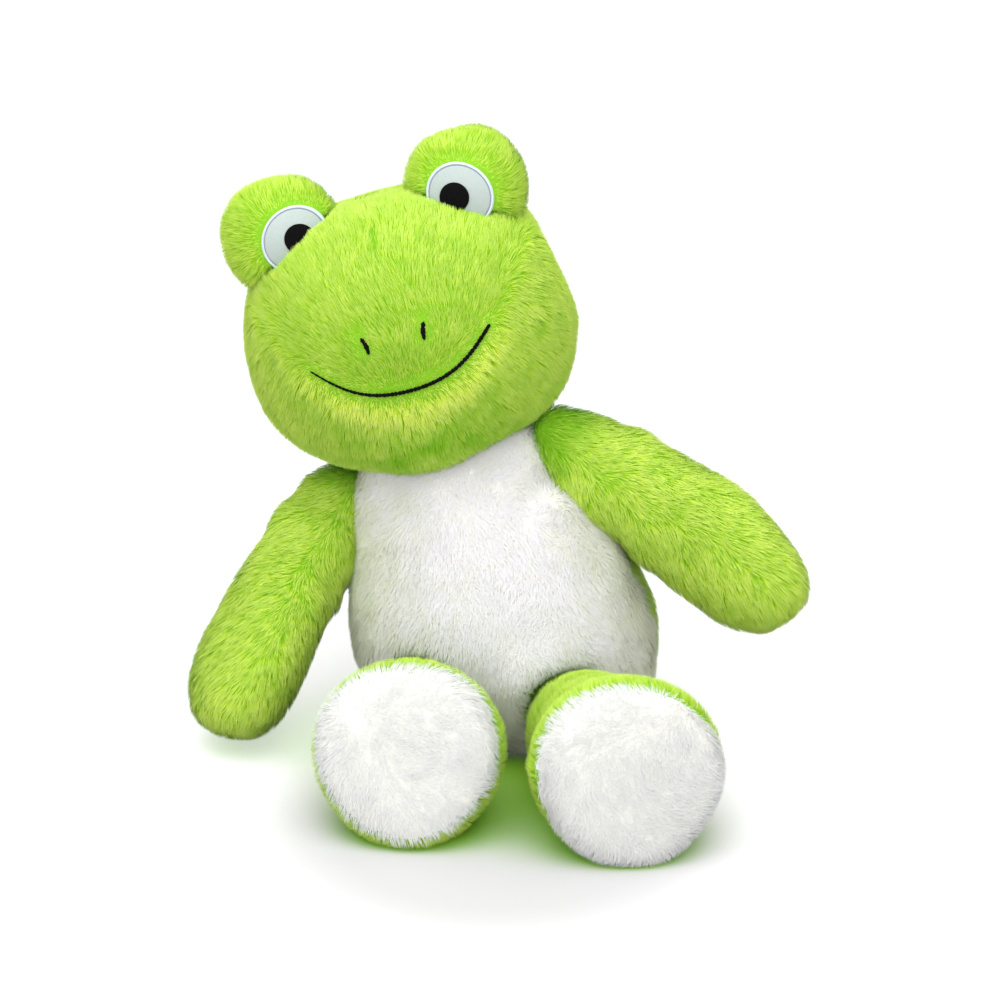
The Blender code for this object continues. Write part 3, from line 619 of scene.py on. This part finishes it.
for side in ("right", "left"):
    hip = np.array(next(j["pos_m"] for j in frame["joints"] if j["child"] == "leg_" + side))
    points, _ = joined(["sole_" + side])
    centre = points.mean(0)
    axis = unit(centre - hip)
    upper, lower, aside = thigh_fillings[side]
    skin = cushion("leg_skin_" + side, ["leg_" + side, "leg_stuffing_" + side, "sole_" + side], rounds=11,
                   filling=[(hip + axis * 0.024, upper), (hip + axis * 0.046 + np.array([aside, 0, 0]), lower)])
    low_foot = centre - np.array([0, 0, 0.03])
    eased_towards(skin, (low_foot, 0.05, (low_pushes[side], -0.0030, -0.0045)),
                  (centre + axis * 0.002, 0.06, foot_shapes[side]),
                  (centre + np.array([0, 0.012, 0.038]), 0.04, (0, 0, -0.0024)),
                  (centre + np.array([-0.032, 0, 0]), 0.04, (foot_widths[side][0], 0, 0)),
                  (centre + np.array([0.032, 0, 0]), 0.04, (foot_widths[side][1], 0, -0.0005)), *hip_shapes[side])
    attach(skin, "leg_" + side)
    skin.data.materials.append(green_cloth)
    skin.data.materials.append(white_cloth)
    away = points - centre
    sole_reach = float((away @ axis).min()) - 0.002
    sole_radius = float(np.linalg.norm(away - (away @ axis)[:, None] * axis, axis=1).max()) + 0.0014

    def on_the_sole(p, n, axis=axis, centre=centre + np.array(white_shifts[side]), reach=sole_reach,
                    radius=sole_radius, width=white_widths[side]):
        """1 on the white disc, 0 on the green of the leg and its rim."""
        away = p - centre
        forward = away @ axis
        out = np.linalg.norm((away - forward[:, None] * axis) * (width, 1, 1), axis=1)
        return ((forward > reach) & (out < radius) & (n @ axis > 0.2)).astype(float)

    def up_the_leg(p, n, axis=axis):
        """From the foot to the hip."""
        return axis * -0.9 + np.array([0, 0, 0.1])

    def out_over_the_sole(p, n, centre=centre):
        """Out from above the middle of the disc, and down."""
        away = p - centre - np.array([0, 0, 0.006])
        return away / 0.042 + np.array([0, 0, -0.45])

    faces = skin.data.polygons
    white = on_the_sole(read_array(faces, "center", 3), read_array(faces, "normal", 3))
    faces.foreach_set("material_index", white.astype(np.int32))
    grow_pile("leg_pile_" + side, skin, "leg_" + side, green_pile, up_the_leg,
              seed=31 if side == "right" else 32, length=0.0068, lock_draw=0.1,
              share=lambda p, n: 1 - on_the_sole(p, n))
    grow_pile("sole_pile_" + side, skin, "leg_" + side, sole_white_painted_shade, out_over_the_sole,
              seed=33 if side == "right" else 34, length=0.0066, stray=0.40, swirl=0.6,
              root_lift=52, tip_lift=14, draw=0.24, lock_draw=0.1, dye=0.03, evenness=3.5, share=on_the_sole)

# The head: a wide soft ball of green pile, combed up from the mouth over the crown and
# down the back, and down the chin below the mouth.
head_skin = cushion("head_skin", ["head_cover", "head_stuffing"])
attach(head_skin, "head")
head_skin.data.materials.append(green_cloth)
cheek_pushes = (
    ((0.0239, 0.0266, 0.1746), 0.04, (0.0014, 0, 0)),
    ((-0.112, 0.0089, 0.125), 0.04, (-0.0012, 0, -0.001)),
    ((0.0169, 0.0366, 0.2096), 0.03, (-0.005, 0, -0.001)),
    ((0.0192, 0.0122, 0.1494), 0.035, (0.0018, 0, -0.001)),
    ((-0.1107, 0.0089, 0.1411), 0.03, (-0.001, 0, -0.0005)),
    ((-0.118, 0.015, 0.190), 0.04, (0.0013, 0, 0)),
)
chin_pushes = (
    ((-0.0431, -0.0386, 0.1372), 0.036, (0.0005, -0.0005, -0.0030)),
    ((-0.036, -0.016, 0.128), 0.04, (0.0010, -0.0010, -0.0042)),
)
under_eye_pushes = (
    ((-0.088, -0.010, 0.229), 0.022, (0.0004, 0.0006, -0.0015)),
    ((-0.024, -0.009, 0.2445), 0.022, (0, 0.0006, -0.0015)),
)
eased_towards(head_skin, *cheek_pushes, *chin_pushes, *under_eye_pushes)
head_up = np.array(next(j["axis"] for j in frame["joints"] if j["child"] == "neck"))
head_across = np.array(next(j["axis"] for j in frame["joints"] if j["child"] == "head"))
head_forward = np.cross(head_across, head_up)
head_axes = np.stack([head_across, head_forward, head_up], 1)
points, _ = joined(["head_cover"])
head_centre = (points.min(0) + points.max(0)) / 2


def in_the_head(points):
    """Points in the head's own frame: across to its left, forward and up from its middle."""
    return (points - head_centre) @ head_axes


mouth_points, _ = joined(["mouth_line"])
mouth_local = in_the_head(mouth_points)
mouth_half = float(np.ptp(mouth_local[:, 0])) / 2
mouth_middle = float((mouth_local[:, 0].max() + mouth_local[:, 0].min()) / 2)
mouth_low = float(mouth_local[:, 2].min())
mouth_high = float(mouth_local[:, 2].max())


def mouth_rise(across):
    """The height of the mouth's line, in the head's own frame, and on past its corners."""
    share = np.abs(across - mouth_middle) / mouth_half
    return mouth_low + (mouth_high - mouth_low) * np.minimum(share, 1.6) ** 2.2


def over_the_head(points, normals):
    """Up and out from the mouth over the crown, down the back, and down under the mouth."""
    local = in_the_head(points)
    front = np.clip((local[:, 1] + 0.01) / 0.03, 0, 1)[:, None]
    above = np.tanh((local[:, 2] - mouth_rise(local[:, 0])) / 0.004)[:, None]
    sides = local[:, :1] / 0.06
    face = head_up * above + head_across * sides * 0.55 - head_forward * np.abs(sides) * 0.4
    rear = -head_up + head_across * sides * 0.2 - head_forward * 0.4
    return face * front + rear * (1 - front) - head_forward * 0.25


face_tree = tree_of(["mouth_line", "nostril_left", "nostril_right", "eye_white_left", "eye_white_right"])


def round_the_stitches(points, normals):
    """The pile's length: trimmed close to the stitching and the eyes, and in the forehead dart."""
    near = np.array([face_tree.find(p)[2] for p in points])
    local = in_the_head(points)
    return np.clip(0.2 + near / 0.009, 0.2, 1) * (1 - 0.55 * dart_nearness(local))


def paler_ruff_and_painted_chin_shade(points, normals):
    """A paler band just under the mouth, and painted shade: a mottled deeper green under the chin and in the
    partings at the forehead dart and above the nostrils.
    """
    local = in_the_head(points)
    below = mouth_rise(local[:, 0]) - local[:, 2]
    front = np.clip(local[:, 1] / 0.02, 0, 1)
    inside = np.clip(1.3 - np.abs(local[:, 0] - mouth_middle) / mouth_half, 0, 1)
    ruff = np.exp(-(((below - 0.0075) / 0.0055) ** 2)) * np.minimum(inside * 2, 1)
    under = np.clip((below - 0.012) / 0.01, 0, 1) * inside
    mottle = wander(points, 0.006, np.random.default_rng(71))[:, 0]
    mottle = mottle + wander(points, 0.003, np.random.default_rng(72))[:, 0]
    partings = dart_nearness(local) * 0.5 + above_nostrils(points) * 0.25
    return (ruff * 0.42 - under * (0.16 + 0.15 * mottle)) * front - partings


dart_across, dart_low, dart_high = 0.0008, 0.0370, 0.0455


def dart_nearness(local):
    """1 on the short forehead dart, where the pile parts: it is trimmed shorter there and given painted shade."""
    past = np.maximum(0, np.maximum(dart_low - local[:, 2], local[:, 2] - dart_high))
    return np.exp(-(((local[:, 0] - dart_across) / 0.0014) ** 2) - (past / 0.001) ** 2) * (local[:, 1] > 0.035)


nostril_tree = tree_of(["nostril_left", "nostril_right"])


def above_nostrils(points):
    """1 in the partings that run up a little way from the nostrils, which get painted shade."""
    return np.exp(-((np.array([nostril_tree.find(p - head_up * 0.0025)[2] for p in points]) / 0.0026) ** 2))


grow_pile("head_pile", head_skin, "head", green_pile, over_the_head, seed=41,
          trim=round_the_stitches, shade=paler_ruff_and_painted_chin_shade, length=0.0070,
          per_square_mm=2.9, root_lift=56, tip_lift=13, stray=0.2, draw=0.28, lock_draw=0.12)

# The eyes: a plump lobe of green pile at each side of the crown, with a round patch of pale felt
# sewn on its front by a satin-stitched border, and a pupil embroidered on that in black thread.
patch_radius, pupil_radius = 0.0148, 0.0066


def in_the_world(local):
    return head_centre + local @ head_axes.T


def patch_face(node, radius, side):
    """The middle of a sewn patch, across and up, and how far forward its face lies at such places."""
    points, faces = joined([node])
    local = in_the_head(points)
    a, b, c = local[faces].transpose(1, 0, 2)
    ways = np.cross(b - a, c - a)
    ways /= np.maximum(np.linalg.norm(ways, axis=1, keepdims=True), 1e-15)
    shown = np.unique(faces[ways[:, 1] > 0.55])

    def terms(places):
        x, z = (places - middle).T
        return np.stack([np.ones(len(x)), x, z, x * x, x * z, z * z], 1)

    outer = local[:, 0].min() + radius if side == "right" else local[:, 0].max() - radius
    middle = np.array([outer, local[:, 2].max() - radius])
    fit = np.linalg.lstsq(terms(local[shown][:, [0, 2]]), local[shown][:, 1], rcond=None)[0]
    return middle, lambda places: terms(places) @ fit


def round_patch(name, node, side, radius, profile, threads, finishes, spokes=320, rough=0.0, oval=0.0):
    """A round patch over a node: rings of its radius, each raised so far, with threads across its border."""
    middle, front = patch_face(node, radius, side)
    chance = np.random.default_rng(61)
    turns = np.arange(spokes) / spokes * 2 * np.pi
    lean = math.radians(40 if side == "right" else 125)
    places, lifts = [], []
    for share, lift, thread in profile:
        out = radius * share * (1 + oval * np.cos(2 * (turns - lean))) + thread * 0.4 * np.cos(turns * threads)
        places.append(middle + np.stack([np.cos(turns), np.sin(turns)], 1) * out[:, None])
        lifts.append(lift + thread * np.cos(turns * threads) + chance.normal(size=spokes) * rough)
    places, lifts = np.concatenate(places), np.concatenate(lifts)
    local = np.stack([places[:, 0], front(places) + lifts, places[:, 1]], 1)
    faces, kinds = [], []
    for number in range(len(profile) - 1):
        for spoke in range(spokes):
            after = (spoke + 1) % spokes
            low, high = number * spokes, (number + 1) * spokes
            faces.append((low + spoke, high + spoke, high + after, low + after))
            kinds.append(finishes[number])
    faces.append(tuple(range(spokes)))
    kinds.append(finishes[0])
    mesh = bpy.data.meshes.new(name)
    mesh.from_pydata(in_the_world(local).tolist(), [], [face[::-1] for face in faces])
    mesh.polygons.foreach_set("material_index", kinds)
    mesh.shade_smooth()
    patch = placed(name, mesh)
    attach(patch, "head")
    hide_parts(node)
    return patch


def laid_threads(patch, pitch, height):
    """Raises a patch's face in close parallel threads, slanting a little, as satin stitch lies."""
    points = read_array(patch.data.vertices, "co", 3).astype(float)
    local = in_the_head(points)
    rows = (local[:, 2] + local[:, 0] * 0.35) / pitch
    points += np.abs(np.sin(rows * np.pi))[:, None] * height * head_forward
    move_points(patch.data, points)


def felt_material(name, pale, deep, roughness, scale, height):
    """Pressed or twisted fibre: fine crossing hairs in two close shades, rough or a little shiny."""
    material, tree, shader = new_material(name)
    place = tree.nodes.new("ShaderNodeTexCoord")
    hairs = tree.nodes.new("ShaderNodeTexNoise")
    hairs.inputs["Scale"].default_value = scale
    hairs.inputs["Detail"].default_value = 6
    hairs.inputs["Distortion"].default_value = 1.5
    shades = tree.nodes.new("ShaderNodeMix")
    shades.data_type = "RGBA"
    shades.inputs["A"].default_value = deep
    shades.inputs["B"].default_value = pale
    spread = tree.nodes.new("ShaderNodeMapRange")
    spread.inputs["From Min"].default_value = 0.3
    spread.inputs["From Max"].default_value = 0.7
    bump = tree.nodes.new("ShaderNodeBump")
    bump.inputs["Strength"].default_value = 0.5
    bump.inputs["Distance"].default_value = height
    tree.links.new(place.outputs["Object"], hairs.inputs["Vector"])
    tree.links.new(hairs.outputs[0], spread.inputs["Value"])
    tree.links.new(spread.outputs[0], shades.inputs["Factor"])
    tree.links.new(shades.outputs["Result"], shader.inputs["Base Color"])
    tree.links.new(hairs.outputs[0], bump.inputs["Height"])
    tree.links.new(bump.outputs[0], shader.inputs["Normal"])
    shader.inputs["Roughness"].default_value = roughness
    return material


eye_felt = felt_material("eye_felt", linear(190, 201, 198), linear(176, 188, 184), 0.85, 1800, 0.00025)
border_thread = felt_material("border_thread", linear(226, 236, 238), linear(204, 214, 220), 0.4, 2500, 0.0001)
stitch_thread = felt_material("stitch_thread", linear(158, 164, 186), linear(134, 140, 164), 0.6, 2500, 0.0002)
black_thread = felt_material("black_thread", linear(12, 12, 12), linear(2, 2, 2), 0.9, 3000, 0.0002)
black_thread.node_tree.nodes["Principled BSDF"].inputs["Specular IOR Level"].default_value = 0.12
patch_shares = (0.06, 0.14, 0.22, 0.3, 0.38, 0.46, 0.54, 0.62, 0.70, 0.78, 0.85, 0.89)
patch_rings = [(share, 0.0, 0.0) for share in patch_shares]
patch_rings += [(0.90, -0.0002, 0), (0.912, -0.0003, 0), (0.925, 0.0, 0.00002), (0.94, 0.0003, 0.00005),
                (0.96, 0.0005, 0.00007), (0.98, 0.0004, 0.00006), (0.995, 0.0001, 0.00004),
                (1.005, -0.0004, 0.00002), (1.006, -0.0014, 0), (0.9, -0.0016, 0)]
patch_finishes = [0] * 11 + [2, 2, 2] + [1] * 7
pupil_rings = [(0.03 + 0.04 * step, -0.0002, 0.0) for step in range(23)]
pupil_rings += [(0.94, -0.00025, 0.00003), (0.97, -0.00035, 0.00006), (0.99, -0.0006, 0.00006),
                (1.0, -0.0012, 0), (0.9, -0.0016, 0)]
for side in ("right", "left"):
    skin = cushion("lobe_skin_" + side, ["eye_lobe_" + side], 0.002, 3)
    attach(skin, "head")
    skin.data.materials.append(green_cloth)
    eye_middle, eye_front = patch_face("eye_white_" + side, patch_radius, side)
    eye_centre = in_the_world(np.array([[eye_middle[0], eye_front(eye_middle[None])[0], eye_middle[1]]]))[0]

    def round_the_eye(p, n, eye=eye_centre):
        away = p - eye
        away = away - (away @ head_forward)[:, None] * head_forward
        return unit(away) - head_forward * 0.3

    def off_the_eye(p, n, eye=eye_centre):
        away = p - eye
        flat = away - (away @ head_forward)[:, None] * head_forward
        near = (np.linalg.norm(flat, axis=1) < patch_radius - 0.0008) & (n @ head_forward > 0.2)
        return 1 - near.astype(float)

    def short_at_the_eye(p, n, eye=eye_centre):
        away = p - eye
        flat = away - (away @ head_forward)[:, None] * head_forward
        out = np.linalg.norm(flat, axis=1)
        return np.where(n @ head_forward > 0.1, np.clip(0.4 + (out - patch_radius) / 0.008, 0.4, 1), 1)

    grow_pile("lobe_pile_" + side, skin, "head", green_pile, round_the_eye,
              seed=51 if side == "right" else 52, length=0.0064, lock_draw=0.1, root_lift=54, tip_lift=12,
              stray=0.2, share=off_the_eye, trim=short_at_the_eye)
    white = round_patch("sewn_white_" + side, "eye_white_" + side, side, patch_radius, patch_rings, 84,
                        patch_finishes, rough=0.00003, oval=0.045)
    for finish in (eye_felt, border_thread, stitch_thread):
        white.data.materials.append(finish)
    pupil = round_patch("sewn_pupil_" + side, "pupil_" + side, side, pupil_radius, pupil_rings, 62,
                        [0] * (len(pupil_rings) - 1), spokes=248)
    pupil.data.materials.append(black_thread)
    laid_threads(pupil, 0.0006, 0.00011)


# The nose and the mouth: lines of black embroidery thread, back-stitched through the pile, so
# that the twisted thread dips where each stitch goes in. The smile starts thin at its right end.
def sewn_line(name, node, along, degree, width, stitch=0.0036, twist=0.0017):
    """A twisted thread along the middle of a node's line, as wide as width says at each share of its length."""
    points, _ = joined([node])
    local = in_the_head(points)
    ends = np.linspace(local[:, along].min(), local[:, along].max(), 400)
    route = np.stack([ends] * 3, 1)
    for axis in {0, 1, 2} - {along}:
        route[:, axis] = np.polyval(np.polyfit(local[:, along], local[:, axis], degree), ends)
    far = np.concatenate([[0], np.cumsum(np.linalg.norm(np.diff(route, axis=0), axis=1))])
    count = int(far[-1] / 0.00028)
    steps = np.linspace(0, far[-1], count)
    route = np.stack([np.interp(steps, far, route[:, axis]) for axis in range(3)], 1)
    tangent = unit(np.gradient(route, axis=0))
    over = unit(np.cross(tangent, [0, 1, 0]))
    out = unit(np.cross(over, tangent))
    dips = np.exp(-(((steps % stitch) - stitch / 2) / (stitch * 0.09)) ** 2)
    radius = width(steps / far[-1]) / 2 * (1 - 0.28 * dips)
    ends_in = np.minimum(1, np.minimum(steps, far[-1] - steps) / 0.0009 + 0.15)
    route[:, 1] -= 0.0010 + radius * 0.4 * dips
    turns = np.arange(12) / 12 * 2 * np.pi
    plies = 1 + 0.15 * np.cos(2 * turns[None] - steps[:, None] / twist * 2 * np.pi)
    rings = route[:, None] + (radius * ends_in)[:, None, None] * plies[:, :, None] * (
        np.cos(turns)[None, :, None] * over[:, None] + np.sin(turns)[None, :, None] * out[:, None])
    faces = [tuple(range(12)), tuple(range(count * 12 - 1, count * 12 - 13, -1))]
    for ring in range(count - 1):
        for corner in range(12):
            after = (corner + 1) % 12
            low, high = ring * 12, ring * 12 + 12
            faces.append((low + corner, high + corner, high + after, low + after))
    mesh = bpy.data.meshes.new(name)
    mesh.from_pydata(in_the_world(rings.reshape(-1, 3)).tolist(), [], faces)
    mesh.shade_smooth()
    mesh.materials.append(black_thread)
    line = placed(name, mesh)
    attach(line, "head")
    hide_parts(node)


sewn_line("smile_thread", "mouth_line", 0, 6,
          lambda share: 0.0008 + 0.0009 * np.clip((share - 0.05) / 0.35, 0, 1))
for side in ("right", "left"):
    sewn_line("nostril_thread_" + side, "nostril_" + side, 2, 2,
              lambda share: 0.0021 - 0.0005 * np.abs(2 * share - 1))


# The joints' seams: rings of doubled green fabric, gathered where neck, arms and legs are drawn
# into the body. They turn with the limb's swing and stay hidden in the pile.
for node, body in (("neck_seam", "neck"), ("shoulder_seam_right", "shoulder_right"),
                   ("shoulder_seam_left", "shoulder_left"), ("hip_seam_right", "hip_right"),
                   ("hip_seam_left", "hip_left")):
    points, faces = joined([node])
    mesh = bpy.data.meshes.new("gathered_" + node)
    mesh.from_pydata(points.tolist(), [], faces.tolist())
    gathered = placed("gathered_" + node, mesh)
    gathered.modifiers.new("joined_up", "WELD").merge_threshold = 0.00005
    gathered.modifiers.new("softened", "SUBSURF").levels = 2
    settled(gathered)
    points = read_array(gathered.data.vertices, "co", 3).astype(float)
    middle = points.mean(0)
    way = unit(np.linalg.svd(points - middle, full_matrices=False)[2][2])
    side_way = unit(np.cross(way, [0.3, 0.2, 1.0]))
    other_way = np.cross(way, side_way)
    turns = np.arctan2((points - middle) @ other_way, (points - middle) @ side_way)
    points += way * (np.cos(turns * 26) * 0.0003)[:, None] - (points - middle) * (0.08 * node.startswith("hip"))
    move_points(gathered.data, points)
    gathered.data.shade_smooth()
    gathered.data.materials.append(green_cloth)
    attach(gathered, body)
    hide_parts(node)
